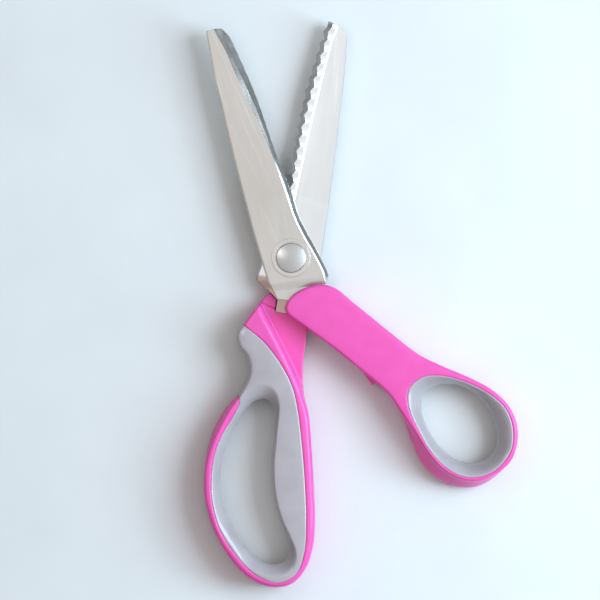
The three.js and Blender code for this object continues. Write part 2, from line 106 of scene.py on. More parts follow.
# Plan curves of the back blade, as [distance up the blade, x].
SPINE = [[-10.2, 11.7], [-8, 12], [10, 12.1], [20, 12], [30, 11.7], [44, 11.2],
         [62, 10.25], [79, 9.35], [88, 8.5], [96.5, 7.55], [101, 7]]
TOOTH_POINTS = [[26, -5.1], [34, -5.2], [45, -5.1], [55, -4.75], [65, -4], [75, -2.95],
                [85, -1.8], [95, -0.35], [99.6, 0.6]]
TOOTH_ROOTS = [[26, -3.8], [41, -4], [52, -3.65], [62, -3.05], [72, -2.05], [82, -1],
               [92, 0.1], [97, 0.9], [99.6, 1.6]]
LAND_LINE = [[22, -3.1], [44, -2.05], [53, -1.6], [62, -1], [77, 0.1], [90, 1.2],
             [94, 2.05], [99.6, 3.4]]
OUTLINE = [[-10.2, -12.6], [-8.9, -13.1], [-4.8, -12.2], [1.7, -10.8], [6, -9.7],
           [10, -8.9], [14, -8.1], [20, -7.65], [25.5, -8], [30, -7.6], [40, -6.6], [50, -5.9],
           [63, -5.5], [70, -5.1], [80, -3.9], [90, -2.5], [97, -1.5], [101, -1.2]]
BEVEL_OUTER = [[-10.2, -12], [-8.9, -12.5], [-4.8, -11.8], [1.7, -10.3], [6, -9.2],
               [10, -8.4], [14, -7.7], [20, -7.2], [25, -7.5], [30, -7.1], [40, -6],
               [46.5, -5.4], [55, -4.66], [62, -4], [68, -3.15], [75, -2.3], [80, -1.4],
               [90, -0.1], [99.6, 0.5]]
BEVEL_INNER = [[-10.2, -11.2], [-5.3, -10.9], [0, -9.5], [5, -8.1], [10, -6.8], [15, -6.2],
               [25, -5.5], [35, -5.2], [44, -4.6], [53, -3.5], [60, -2.4], [66, -1.4],
               [72.5, -0.5], [83, 0.9], [90, 1.6], [94, 2.5], [99.6, 3.9]]
# How far the bevel falls away from the outer face, and how much it is set in below the teeth.
BEVEL_DROP = [[0, 0.25], [30, 0.3], [46, 0.5], [55, 0.85], [62, 1.25], [90, 1.3], [95, 1.7],
              [99.6, 2.2]]
SHOULDER_INSET = [[-5, 0.8], [5, 1], [30, 0.9], [60, 0]]
# The blunt tips, as [x, distance up the blade].
BACK_TIP = [[-1.6, 99.55], [0.3, 99.3], [6.2, 97.05], [7.1, 96.2], [7.6, 95.2]]
FRONT_TIP = [[-1.3, 95.6], [-1.05, 97.3], [-0.4, 98.7], [0.9, 99.4], [6.2, 100.3], [7.4, 99.6]]

# Plans of the tangs, the handles, their holes and their soft grips, as [x, y].
FINGER_TANG = [[-10.6, -9], [-10.4, -10.4], [-8.8, -11], [-6.9, -14.7], [-2.8, -18],
               [-2.8, -44], [7.5, -44], [8.5, -18], [10.3, -14.6], [11, -9]]
THUMB_TANG = [[-10.8, -9], [-10.4, -14.5], [-5.5, -16.6], [1, -27], [13.5, -45.5],
              [20.5, -41.5], [9.5, -23], [10.1, -14.2], [10.4, -9]]

FINGER_OUTLINE = [[-5.8, -15.2], [0.2, -13.6], [6.6, -15], [10.8, -20], [11.9, -30],
                  [12.5, -44], [14.6, -54.5], [18.2, -63], [21.4, -75.5], [24.8, -90],
                  [27.5, -103], [28.7, -115], [27.3, -125.5], [22.6, -132.8],
                  [14.3, -135.6], [5, -133.6], [-4.5, -126.8], [-12.9, -117],
                  [-18.5, -105.5], [-20.9, -92.5], [-20.6, -79], [-17, -66.8],
                  [-11.4, -57.8], [-9.1, -50], [-10.9, -43.4], [-15.2, -39.1],
                  [-16.8, -35.2], [-14.6, -29.8], [-9.6, -20.4]]
FINGER_HOLE = [[-0.6, -59.5], [-5.6, -61.5], [-9.4, -67.8], [-12.6, -76.7], [-14.2, -87.5],
               [-12.9, -98.5], [-8.6, -109.6], [-1.6, -118.6], [6.2, -124.7], [12, -126.4],
               [17.2, -124.7], [19.2, -120], [17.6, -115], [12.8, -107], [8.4, -96.5],
               [6, -85], [5.1, -74], [3.4, -62.8]]
FINGER_GRIP = [[-18.5, -28.6], [-14.9, -30.5], [-5.2, -36.1], [3.9, -44.8], [9.7, -53],
               [13.2, -61.5], [17.2, -75], [21.2, -91], [24.4, -107], [25.6, -119.5],
               [23.6, -128.8], [16.6, -133.5], [7.2, -131.7], [-2.6, -124.6],
               [-11.2, -114.5], [-16.4, -102], [-18, -87.5], [-16.2, -77.2],
               [-12.7, -68], [-11.3, -61.8], [-14, -57.5], [-16, -50], [-21, -42], [-22, -34]]

THUMB_OUTLINE = [[-8.4, -20.3], [-6.6, -16.9], [-2.9, -14.6], [3.8, -13.4], [9.8, -14.4],
                 [14, -17.2], [20.1, -25.9], [30, -40.3], [39.5, -53.4], [48, -61.2],
                 [57.2, -68.8], [64.8, -76.6], [69.2, -85], [70, -92.5], [68, -99.8],
                 [63.2, -106.4], [56, -110.8], [47, -112.8], [38.4, -110.2], [31.4, -104],
                 [27.6, -96], [26.3, -86], [25.3, -74], [22.6, -65.6], [18.6, -58.8],
                 [14.6, -53], [6, -40.4], [-1.4, -30.6]]
# How far some points of the thumb's outline move by the front face, keyed by place in the list.
THUMB_LEAN = {16: [-0.4, 1.1], 17: [0.6, 2.4], 18: [1.8, 3.2], 19: [3.2, 3],
              20: [3.8, 1.8], 21: [2.6, 0.5]}
THUMB_HOLE = [[42.3, -67.7], [36.9, -69.6], [34.1, -75.2], [34.1, -82.5], [36.4, -91.3],
              [41, -98.6], [47, -102.7], [53.4, -103], [58.9, -99.3], [61.3, -92.3],
              [60.8, -84.5], [57.3, -76.2], [51.4, -70.3], [46.6, -68.4]]
THUMB_GRIP = [[29, -72.5], [31.2, -65.8], [37.6, -62.6], [45, -63.9], [54.5, -69.4],
              [62.5, -76.8], [67.3, -84.6], [68, -93], [64.6, -102.2], [57, -107.8],
              [49.5, -109], [42.4, -106.9], [36.4, -101], [32.4, -93], [30.2, -84]]
STOP_TAB = [[16.5, -53], [15.1, -54.2], [17.4, -60.2], [19.2, -59.4], [21, -60]]
STOP_TAB_HEIGHTS = (-5, 2.5)


# ---------------------------------------------------------------- placing pieces

def to_frame(points, is_front):
    """Points [x, y, h] in millimetres, in a half's own closed frame, as metres in the model's frame."""
    points = np.asarray(points, float)
    turn = math.radians(OPEN_ANGLE) if is_front else 0.0
    x = points[:, 0] * math.cos(turn) - points[:, 1] * math.sin(turn)
    y = points[:, 0] * math.sin(turn) + points[:, 1] * math.cos(turn)
    return np.column_stack([x, y, points[:, 2] + MID]) * MM


def mesh_object(name, points, faces):
    mesh = bpy.data.meshes.new(name)
    mesh.from_pydata(points.tolist(), [], [list(face) for face in faces])
    mesh.update()
    piece = bpy.data.objects.new(name, mesh)
    bpy.context.scene.collection.objects.link(piece)
    return piece


def place(piece, body, node, slot, material):
    piece.data.materials.clear()
    piece.data.materials.append(material)
    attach(piece, body)
    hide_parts(node)


# ---------------------------------------------------------------- handles as distance fields

def smooth_loop(points, steps=10):
    """A closed centripetal Catmull-Rom curve through the points."""
    points = np.asarray(points, float)
    before, start = np.roll(points, 1, 0), points
    end, after = np.roll(points, -1, 0), np.roll(points, -2, 0)
    knots = [np.zeros(len(points))]
    for a, b in ((before, start), (start, end), (end, after)):
        knots.append(knots[-1] + np.sqrt(np.linalg.norm(b - a, axis=1)))
    t0, t1, t2, t3 = (knot[:, None, None] for knot in knots)
    t = t1 + (t2 - t1) * (np.arange(steps) / steps)[None, :, None]
    p0, p1, p2, p3 = (p[:, None, :] for p in (before, start, end, after))
    a1 = (t1 - t) / (t1 - t0) * p0 + (t - t0) / (t1 - t0) * p1
    a2 = (t2 - t) / (t2 - t1) * p1 + (t - t1) / (t2 - t1) * p2
    a3 = (t3 - t) / (t3 - t2) * p2 + (t - t2) / (t3 - t2) * p3
    b1 = (t2 - t) / (t2 - t0) * a1 + (t - t0) / (t2 - t0) * a2
    b2 = (t3 - t) / (t3 - t1) * a2 + (t - t1) / (t3 - t1) * a3
    return ((t2 - t) / (t2 - t1) * b1 + (t - t1) / (t2 - t1) * b2).reshape(-1, 2)


def distance_to(loop, x, y):
    """Distance from each grid place to a closed loop, negative inside it."""
    nearest = np.full(np.broadcast(x, y).shape, np.inf)
    inside = np.zeros(nearest.shape, bool)
    for (ax, ay), (bx, by) in zip(loop, np.roll(loop, -1, 0)):
        dx, dy = bx - ax, by - ay
        along = np.clip(((x - ax) * dx + (y - ay) * dy) / (dx * dx + dy * dy + 1e-12), 0, 1)
        nearest = np.minimum(nearest, np.hypot(x - ax - along * dx, y - ay - along * dy))
        if dy != 0:
            crosses = ((ay > y) != (by > y)) & (x < ax + (y - ay) * dx / dy)
            inside ^= crosses
    return np.where(inside, -nearest, nearest)


def meet(a, b, radius):
    """What two fields share, with the edge between them rounded."""
    over = np.hypot(np.maximum(a + radius, 0), np.maximum(b + radius, 0))
    return np.minimum(np.maximum(a, b), -radius) + over


def join(a, b, radius):
    return -meet(-a, -b, radius)


def cut(a, b, radius):
    return meet(a, -b, radius)


def bell(value, centre, width):
    return np.exp(-((value - centre) / width) ** 2 / 2)


def rise(value, low, high):
    t = np.clip((value - low) / (high - low), 0, 1)
    return t * t * (3 - 2 * t)


def handle_body(side, hole, h, half, flare, straight, edge):
    """A handle's whole body: rounded outside, and opening out from its hole towards both faces.

    side and hole are distances to the outline and the hole, half the height of the faces, flare
    how far the hole opens out, and straight how high its straight middle part reaches. The
    opening is a superellipse between a cone and a quarter round.
    """
    power = OPENING_POWER
    tall = half - straight
    across = np.maximum(1 - hole / flare, 0)
    up = np.maximum(np.abs(h) - straight, 0) / tall
    size = np.maximum((across ** power + up ** power) ** (1 / power), 0.02)
    slope = np.hypot(across ** (power - 1) / flare, up ** (power - 1) / tall)
    slope = np.maximum(slope * size ** (1 - power), 0.02)
    wall = np.maximum((size - 1) / slope, -np.minimum(flare, tall))
    return meet(side, wall, edge)


def grid(low, high):
    """Grid axes over a rectangle in plan and the handles' whole height."""
    axis = [np.arange(a, b, PITCH) for a, b in
            ((low[0], high[0]), (low[1], high[1]), (-GRID_REACH, GRID_REACH))]
    return axis[0][:, None, None], axis[1][None, :, None], axis[2][None, None, :]


def finger_fields(x, y, h):
    """Distance fields of the finger handle's hard shell and soft grip."""
    outline = distance_to(smooth_loop(FINGER_OUTLINE), x, y)
    hole = distance_to(smooth_loop(FINGER_HOLE), x, y)
    grip = distance_to(smooth_loop(FINGER_GRIP), x, y)
    thumb = distance_to(smooth_loop(THUMB_OUTLINE), x, y)
    tang = distance_to(np.array(FINGER_TANG), x, y)
    # The outer wall leans in towards the front along the left limb.
    left = 1 - rise(x, -12, 0)
    lean = left * (1.7 * bell(y, -72, 9) + 0.7 * bell(y, -116, 12))
    side = outline + SKIN + lean * rise(h, -2, 5)
    # The faces are crowned, and the hole opens out widest at its top, under the neck.
    half = HALF - 0.8 * np.exp(np.minimum(outline, 0) / 3) - 0.6 * np.exp(-np.abs(hole) / 4)
    flare = 1.2 + 3.4 * left + 5 * bell(x, -1, 6) * bell(y, -54, 6) + 4 * bell(y, -128, 7)
    body = handle_body(side, hole, h, half, flare, 2, 1.9 - 0.9 * left)
    # The thumb handle laps into the front of the neck when the blades close.
    lap = meet(thumb - LAP_FIT, INNER - h, 0.3)
    pivot = np.hypot(x, y) - RECESS_RADIUS
    recess = meet(pivot, TANG_INNER - 0.2 - h, 0.4)
    seat = np.maximum(np.maximum(tang - 0.2, pivot - 1), TANG_OUTER - h)
    shell = cut(body, lap, 0.4 + 2.4 * rise(h, 2, 5))
    shell = cut(cut(shell, recess, 0.5), seat, 0.2)
    shell = meet(shell, -grip - SEAM_OVERLAP, SEAM_ROUND)
    soft = meet(cut(body, lap, 0.6), grip, SEAM_ROUND)
    return shell, soft


def thumb_fields(x, y, h):
    """Distance fields of the thumb handle's hard shell and its ring's soft liner."""
    leaning = [[px + THUMB_LEAN.get(i, [0, 0])[0], py + THUMB_LEAN.get(i, [0, 0])[1]]
               for i, (px, py) in enumerate(THUMB_OUTLINE)]
    back = distance_to(smooth_loop(THUMB_OUTLINE), x, y)
    front = distance_to(smooth_loop(leaning), x, y)
    hole = distance_to(smooth_loop(THUMB_HOLE), x, y)
    liner = distance_to(smooth_loop(THUMB_GRIP), x, y)
    finger = distance_to(smooth_loop(FINGER_OUTLINE), x, y)
    tab_plan = distance_to(np.array(STOP_TAB), x, y)
    side = back + SKIN + (front - back) * rise(h, -0.3 * HALF, HALF - 1.5)
    half = HALF - 0.5 * np.exp(np.minimum(front, 0) / 2.5)
    flare = np.maximum(hole - liner, 1)
    body = handle_body(side, hole, h, half, flare, 1.2, 1.1)
    # The finger handle and back blade pass behind the neck.
    lap = meet(finger - LAP_FIT, h + INNER, 0.5)
    recess = np.maximum(np.hypot(x, y) - RECESS_RADIUS, h + INNER)
    low, high = STOP_TAB_HEIGHTS
    tab = meet(tab_plan, np.abs(h - (low + high) / 2) - (high - low) / 2, 0.35)
    shell = cut(cut(body, lap, 0.6), recess, 0.4)
    shell = join(shell, tab, 0.3)
    shell = meet(shell, -liner - SEAM_OVERLAP, SEAM_ROUND)
    soft = meet(body, liner, SEAM_ROUND)
    return shell, soft


def crossings(field):
    """For each grid cell, how many of its edges the surface crosses and where, on average."""
    cells = tuple(n - 1 for n in field.shape)
    count = np.zeros(cells, np.int32)
    total = np.zeros(cells + (3,))
    for axis in range(3):
        ahead = np.moveaxis(field, axis, 0)
        first, second = ahead[:-1], ahead[1:]
        crossed = (first < 0) != (second < 0)
        part = np.where(crossed, first / np.where(crossed, first - second, 1), 0)
        crossed = np.moveaxis(crossed, 0, axis)
        part = np.moveaxis(part, 0, axis)
        sides = [a for a in range(3) if a != axis]
        for corner in ((0, 0), (0, 1), (1, 0), (1, 1)):
            window = [slice(None)] * 3
            for a, step in zip(sides, corner):
                window[a] = slice(step, step + cells[a])
            hit = crossed[tuple(window)]
            count += hit
            total[..., axis] += part[tuple(window)]
            for a, step in zip(sides, corner):
                total[..., a] += hit * step
    return count, total


def net_faces(field, index):
    """Four-sided faces across every grid edge that the surface crosses, facing outwards."""
    faces = []
    for axis in range(3):
        order = (axis, (axis + 1) % 3, (axis + 2) % 3)
        ahead = np.transpose(field, order)
        cell = np.transpose(index, order)
        first, second = ahead[:-1, 1:-1, 1:-1], ahead[1:, 1:-1, 1:-1]
        corners = (cell[:, :-1, :-1], cell[:, 1:, :-1], cell[:, 1:, 1:], cell[:, :-1, 1:])
        for leaving in (True, False):
            hit = (first < 0) & (second >= 0) if leaving else (first >= 0) & (second < 0)
            quad = np.column_stack([corner[hit] for corner in corners])
            faces.append(quad if leaving else quad[:, ::-1])
    return np.concatenate(faces)


def sample(values, place):
    """Values on a grid, read between its points. place is in grid steps."""
    limit = np.array(values.shape) - 2
    base = np.clip(np.floor(place).astype(int), 0, limit)
    part = place - base
    result = np.zeros(len(place))
    for corner in np.ndindex(2, 2, 2):
        weight = np.prod(np.where(corner, part, 1 - part), axis=1)
        i, j, k = (base + corner).T
        result += weight * values[i, j, k]
    return result


def relaxed(points, faces):
    """Each point moved half-way to the average of its neighbours."""
    total = np.zeros_like(points)
    count = np.zeros(len(points))
    for i in range(4):
        a, b = faces[:, i], faces[:, (i + 1) % 4]
        for start, end in ((a, b), (b, a)):
            count += np.bincount(start, minlength=len(points))
            for k in range(3):
                total[:, k] += np.bincount(start, points[end, k], len(points))
    return (points + total / np.maximum(count, 1)[:, None]) / 2


def field_mesh(name, field, axes, is_front):
    """A closed smooth mesh on a field's zero surface."""
    field = np.ascontiguousarray(field)
    count, total = crossings(field)
    active = count > 0
    index = np.full(active.shape, -1)
    index[active] = np.arange(active.sum())
    place = np.argwhere(active) + total[active] / count[active][:, None]
    faces = net_faces(field, index)
    slopes = np.gradient(field)
    for turn in range(5):
        if turn in (1, 3):
            place = relaxed(place, faces)
        slope = np.column_stack([sample(s, place) for s in slopes])
        steep = np.maximum((slope ** 2).sum(1), 0.01)
        move = slope * (sample(field, place) / steep)[:, None]
        place = place - np.clip(move, -0.5, 0.5)
    start = np.array([axis.ravel()[0] for axis in axes])
    piece = mesh_object(name, to_frame(start + place * PITCH, is_front), faces)
    piece.data.polygons.foreach_set("use_smooth", [True] * len(faces))
    return piece


# ---------------------------------------------------------------- blades

def along(pairs, place):
    """The value at a place along [place, value] pairs, eased round their corners above the base."""
    places, values = zip(*pairs)
    reach = min(max((place - 5) / 5, 0), 3)
    return float(np.interp(place + np.linspace(-reach, reach, 7), places, values).mean())


def tooth_stations(is_front):
    """[distance from the pivot, edge x, land height, outline shift] down the toothed edge."""
    stations = []
    for i in range(TOOTH_COUNT + 1):
        point = FIRST_TOOTH - i * TOOTH_PITCH
        root = point + ROOT_LEAD + ROOT_LEAD_GAIN * (i / TOOTH_COUNT)
        if i == TOOTH_COUNT:
            root = point + TOOTH_PITCH / 2
        for where, is_point in ((root, is_front), (point, not is_front)):
            if i == TOOTH_COUNT and where == point:
                continue
            edge = along(TOOTH_POINTS if is_point else TOOTH_ROOTS, where)
            side = -1 if is_point else 1
            scallop = FRONT_SCALLOP if is_front else BACK_SCALLOP
            stations.append([where, edge, INNER + side * TOOTH_DEPTH, side * scallop])
    return stations


def between(stations, steps):
    """The stations with more put in between them."""
    stations = np.array(stations)
    for a, b in zip(stations[:-1], stations[1:]):
        for i in range(steps):
            yield a + (b - a) * i / steps
    yield stations[-1]


def blade_section(place, edge, inner_faces, shift, raked):
    """A cross-section [x, h] of the back blade, from its spine's inner corner round to its outer.

    inner_faces are the heights of the inner face by the spine, in the hollow and on the land.
    shift moves the outline, and raked says that the wall behind the teeth slopes from the land.
    """
    spine_face, hollow, land = inner_faces
    spine, ridge = along(SPINE, place), along(LAND_LINE, place)
    outline = along(OUTLINE, place)
    bevel = max(along(BEVEL_OUTER, place), outline + 0.3) + along(SHOULDER_INSET, place)
    inner = max(along(BEVEL_INNER, place), bevel + 0.6)
    drop = along(BEVEL_DROP, place)
    wall = min(OUTER + drop + WALL_SLOPE * (bevel - outline), INNER - 0.5)
    outline += shift
    if raked:
        wall = max(land - RAKE_SLOPE * (edge - outline), OUTER + drop + 0.4)
    return [
        [spine, spine_face - 0.2], [spine - 0.2, spine_face],
        [ridge + 1.2, hollow + 0.02], [ridge + 0.6, hollow], [ridge, min(hollow + HOLLOW, INNER)],
        [edge, land], [edge - 0.06, land - 0.12],
        [outline, wall], [outline + 0.1, wall - 0.15],
        [bevel, OUTER + drop], [bevel + 0.12, OUTER + drop - 0.1],
        [inner, OUTER + 0.02], [inner + 0.3, OUTER],
        [spine - 0.65, OUTER], [spine - 0.05, OUTER + 0.17], [spine, OUTER + 0.3],
    ]


def blade_rings(is_front):
    """The blade's cross-sections from its blunt tip down to where it meets its tang."""
    tip = np.array(FRONT_TIP if is_front else BACK_TIP)
    flat = [INNER, INNER, INNER]
    raked = not is_front
    stations = tooth_stations(is_front)
    rings = []

    def add_arc(place, section):
        rings.append([[x, math.sqrt(place * place - x * x), h] for x, h in section])

    hollow_faces = [INNER - 0.2, INNER - TOOTH_DEPTH - HOLLOW]
    for place in TIP_STATIONS:
        edge = along(TOOTH_POINTS if is_front else TOOTH_ROOTS, place)
        land = INNER + (-TOOTH_DEPTH if is_front else TOOTH_DEPTH) * 0.4
        add_arc(place, blade_section(place, edge, hollow_faces + [land], stations[0][3], raked))
    for place, edge, land, shift in between(stations, 3):
        add_arc(place, blade_section(place, edge, hollow_faces + [land], shift, raked))
    edge = along(OUTLINE, ROOT_STATION) + 0.6
    add_arc(ROOT_STATION, blade_section(ROOT_STATION, edge, flat, 0, False))
    for i, ring in enumerate(rings):
        for point in ring:
            limit = float(np.interp(point[0], tip[:, 0], tip[:, 1])) - TIP_STEP * i
            point[1] = min(point[1], limit)
    # Below the teeth the sections are straight, and they tilt towards the slanted base.
    for y in np.linspace(BASE_TOP, BLADE_BASE, BASE_STATIONS):
        tilt = BASE_SLANT * rise(-y, -4, -BLADE_BASE)
        section = blade_section(y, along(OUTLINE, y) + 0.8, flat, 0, False)
        rings.append([[x, y + tilt * x, h] for x, h in section])
    # The joggle narrows and thins the last of them to the tang's neck.
    edge_neck = -FRONT_EDGE_NECK if is_front else -BACK_EDGE_NECK
    middle = (TANG_INNER + TANG_OUTER) / 2
    last = rings[-1]
    for step in JOGGLE_STEPS:
        drop = 0.7 * step + 0.3 * rise(step, 0, 1)
        ring = []
        for x, y, h in last:
            level = TANG_INNER if h > -1 else TANG_OUTER
            if INNER - 0.45 * BLADE_THICKNESS > h > OUTER + 0.3 and x < 0:
                level = middle
            neck = max(x, edge_neck) if x < 0 else min(x, SPINE_NECK)
            ring.append([x + (neck - x) * step, y - JOGGLE_LENGTH * step,
                         h + (level - h) * drop])
        rings.append(ring)
    return rings


def loft(name, rings, is_front=False, is_ring=False):
    """A closed piece through rings of points that match one to one.

    Its ends are capped, or the last ring is joined to the first for a piece with a hole.
    """
    rings = np.array(rings)
    n, m = rings.shape[:2]
    faces = []
    for i in range(n if is_ring else n - 1):
        for j in range(m):
            k = (j + 1) % m
            a, b = i * m, (i + 1) % n * m
            faces.append([a + j, a + k, b + k, b + j])
    if not is_ring:
        faces.append(list(range(m))[::-1])
        faces.append(list(range((n - 1) * m, n * m)))
    return mesh_object(name, to_frame(rings.reshape(-1, 3), is_front), faces)


def slab_rings(loop, low, high, chamfer=0.25):
    """Rings of a flat plate with chamfered edges."""
    loop = np.array(loop, float)
    middle = loop.mean(0)
    inset = loop + (middle - loop) * chamfer / np.linalg.norm(loop - middle, axis=1)[:, None]
    levels = ((inset, low), (loop, low + chamfer), (loop, high - chamfer), (inset, high))
    return [[[x, y, h] for x, y in plan] for plan, h in levels]


def outward(piece):
    """Turns a closed piece's faces outwards."""
    work = bmesh.new()
    work.from_mesh(piece.data)
    bmesh.ops.recalc_face_normals(work, faces=work.faces)
    work.to_mesh(piece.data)
    work.free()


def combine(piece, other, operation):
    """Joins or cuts a piece with another by a boolean, and removes the other."""
    for one in (piece, other):
        outward(one)
    modifier = piece.modifiers.new("combine", "BOOLEAN")
    modifier.operation = operation
    modifier.solver = "EXACT"
    modifier.object = other
    bake_modifiers(piece)
    bpy.data.objects.remove(other)


def bake_modifiers(piece):
    bpy.context.view_layer.update()
    graph = bpy.context.evaluated_depsgraph_get()
    finished = bpy.data.meshes.new_from_object(piece.evaluated_get(graph))
    piece.modifiers.clear()
    piece.data = finished


def sharpen(piece, degrees):
    """Smooth shading, but crisp along edges sharper than an angle."""
    work = bmesh.new()
    work.from_mesh(piece.data)
    for face in work.faces:
        face.smooth = True
    for edge in work.edges:
        edge.smooth = edge.calc_face_angle(0) < math.radians(degrees)
    work.to_mesh(piece.data)
    work.free()


def blade(name, is_front, tang):
    """A blade with its tang, bored for the pivot."""
    rings = np.array(blade_rings(is_front))
    low, high = TANG_OUTER, TANG_INNER
    if is_front:
        rings[..., 0] *= -1
        rings[..., 2] *= -1
        low, high = -TANG_INNER, -TANG_OUTER
    piece = loft(name, rings, is_front)
    combine(piece, loft("tang", slab_rings(tang, low, high), is_front), "UNION")
    combine(piece, loft("bore", turned_rings([[BORE, -6], [BORE, 6]])), "DIFFERENCE")
    outward(piece)
    sharpen(piece, 5)
    return piece


# ---------------------------------------------------------------- pivot parts

def turned_rings(profile, steps=96):
    """Rings through a profile [radius, h] turned about the pivot's axis."""
    turns = np.arange(steps) * 2 * np.pi / steps
    return [[[r * math.cos(t), r * math.sin(t), h] for t in turns] for r, h in profile]


def washer(name, outer, low, high, edge, dish=0.0):
    """A flat ring round the shank, with rounded edges and an optional dished face."""
    inside = [[BORE, low + edge], [BORE + edge, low], [outer - edge, low], [outer, low + edge]]
    arc = [[outer - edge * (1 - math.cos(t)), high - edge * (1 - math.sin(t))]
           for t in np.linspace(0, math.pi / 2, 5)]
    face = [[outer - 1.1, high], [outer - 1.5, high - dish], [BORE + edge, high - dish],
            [BORE, high - dish - edge]]
    piece = loft(name, turned_rings(inside + arc + face), is_ring=True)
    outward(piece)
    sharpen(piece, 32)
    return piece


def bolt(name):
    """The shank with its low domed head."""
    rim = HEAD_SEAT + RIM_HEIGHT
    profile = [[0.01, -MID], [SHANK_END, -MID], [SHANK_RADIUS, -MID + 0.5],
               [SHANK_RADIUS, HEAD_SEAT], [DOME_RADIUS, HEAD_SEAT],
               [HEAD_RADIUS - 0.05, HEAD_SEAT + 0.25], [HEAD_RADIUS, rim]]
    for t in np.linspace(0.1, math.pi / 2, 6):
        profile.append([DOME_RADIUS + RIM_ROUND * math.cos(t), rim + RIM_ROUND * math.sin(t)])
    for radius in np.linspace(DOME_RADIUS - 0.3, 0.01, 24):
        fall = DOME_RISE * (radius / DOME_RADIUS) ** 2
        profile.append([radius, HEAD_SEAT + DOME_TOP - fall])
    piece = loft(name, turned_rings(profile))
    outward(piece)
    sharpen(piece, 35)
    return piece


def nut(name):
    """A chamfered hexagon nut: each ring is the hexagon, held within a circle."""
    low = -MID
    high = NUT_HEIGHT - MID
    flat = NUT_CORNER * math.cos(math.pi / 6)
    steps = 96
    turns = (np.arange(steps) + 0.5) * 2 * np.pi / steps
    rings = []
    for limit, h in ((BORE, low + 0.3), (BORE + 0.3, low), (flat - 0.1, low),
                     (NUT_CORNER, low + 0.5), (NUT_CORNER, high - 0.5), (flat - 0.1, high),
                     (BORE + 0.3, high), (BORE, high - 0.3)):
        ring = []
        for t in turns:
            hexagon = flat / math.cos((t % (math.pi / 3)) - math.pi / 6)
            r = min(limit, hexagon)
            ring.append([r * math.cos(t), r * math.sin(t), h])
        rings.append(ring)
    piece = loft(name, rings, is_ring=True)
    outward(piece)
    sharpen(piece, 25)
    return piece


# ---------------------------------------------------------------- materials

def set_stops(ramp, stops):
    """Gives a colour ramp its stops, as (position, colour)."""
    elements = ramp.color_ramp.elements
    while len(elements) < len(stops):
        elements.new(0.5)
    for element, (at, color) in zip(elements, stops):
        element.position = at
        element.color = (*color, 1)


class Nodes:
    """A new node material with short calls for adding and wiring its nodes."""

    def __init__(self, name):
        self.material = bpy.data.materials.new(name)
        self.material.use_nodes = True
        self.tree = self.material.node_tree
        self.shader = self.tree.nodes["Principled BSDF"]
        self.place = self.add("ShaderNodeTexCoord").outputs["Object"]

    def add(self, kind, inputs=None, **settings):
        node = self.tree.nodes.new(kind)
        for key, value in settings.items():
            setattr(node, key, value)
        for key, value in (inputs or {}).items():
            if isinstance(value, bpy.types.NodeSocket):
                self.tree.links.new(value, node.inputs[key])
            else:
                node.inputs[key].default_value = value
        return node

    def mapped(self, scale, turn=0.0):
        """The object's own coordinates, turned about Z and then scaled."""
        turned = self.add("ShaderNodeVectorRotate", {"Vector": self.place, "Angle": turn},
                          rotation_type="Z_AXIS")
        node = self.add("ShaderNodeMapping", {"Vector": turned.outputs["Vector"], "Scale": scale})
        return node.outputs["Vector"]

    def noise(self, scale, detail=3.0, vector=None):
        node = self.add("ShaderNodeTexNoise", {"Vector": vector or self.place, "Scale": scale,
                                               "Detail": detail, "Roughness": 0.55})
        return node.outputs["Fac"]

    def spread(self, value, low, high, start=0.3, end=0.7):
        node = self.add("ShaderNodeMapRange", {"Value": value, "From Min": start,
                                               "From Max": end, "To Min": low, "To Max": high})
        return node.outputs["Result"]

    def ramp(self, value, stops):
        node = self.add("ShaderNodeValToRGB", {"Fac": value})
        set_stops(node, stops)
        return node.outputs["Color"]

    def blend(self, part, color, other):
        """A colour mixed with another, plain colour where part is 1."""
        node = self.add("ShaderNodeMix", {"Factor": part}, data_type="RGBA")
        self.tree.links.new(color, node.inputs["A"])
        node.inputs["B"].default_value = (*other, 1)
        return node.outputs["Result"]

    def bump(self, height, strength, distance, normal=None):
        inputs = {"Height": height, "Strength": strength, "Distance": distance}
        if normal is not None:
            inputs["Normal"] = normal
        return self.add("ShaderNodeBump", inputs).outputs["Normal"]

    def math(self, operation, a, b):
        node = self.add("ShaderNodeMath", operation=operation)
        for i, value in enumerate((a, b)):
            if isinstance(value, bpy.types.NodeSocket):
                self.tree.links.new(value, node.inputs[i])
            else:
                node.inputs[i].default_value = value
        return node.outputs[0]

    def finish(self, values, links):
        for key, value in values.items():
            self.shader.inputs[key].default_value = value
        for key, value in links.items():
            self.tree.links.new(value, self.shader.inputs[key])
        return self.material


TANG_SHADE_LINE = (-0.0098, -0.0086)  # heights between which the ground steel gives way to the tang's painted shade and painted pink reflection, in metres
